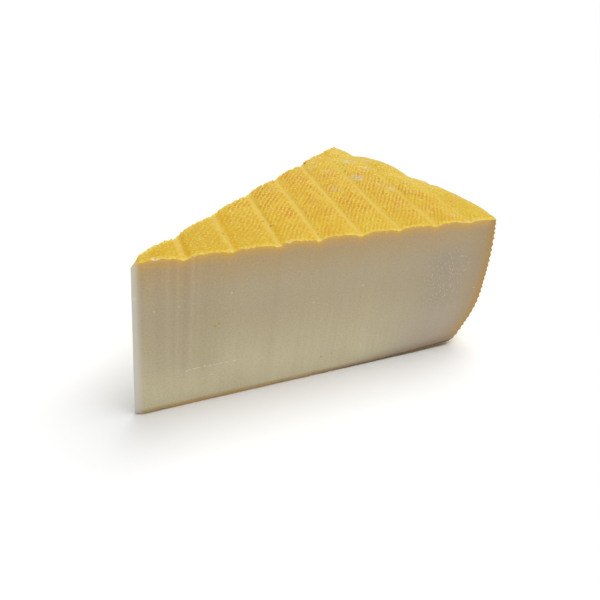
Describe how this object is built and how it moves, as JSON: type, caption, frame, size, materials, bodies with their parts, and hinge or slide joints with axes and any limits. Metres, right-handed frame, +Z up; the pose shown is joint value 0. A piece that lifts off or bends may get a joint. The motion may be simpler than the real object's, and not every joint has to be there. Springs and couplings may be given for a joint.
{
  "type": "raclette cheese wedge",
  "caption": "Wedge of semi-hard raclette cheese cut from a wheel: bulging cloth-printed rind, banded top, two smooth flat cut faces meeting at a tip.",
  "frame": {"origin": "on the surface the wedge rests on, under the middle of its bounding box", "axes": "+Z up, from the bottom rind to the banded top; -Y out of the wide cut face the picture shows; +X along that face from the tip to the rim"},
  "size_m": [0.165, 0.0982, 0.0693],
  "materials": {
    "cheese": "cream-yellow waxy paste on the two cut faces, golden-yellow cloth-printed rind on the top, rim and underside"
  },
  "bodies": {
    "root": {"cheese_wedge": "cheese"}
  },
  "joints": []
}
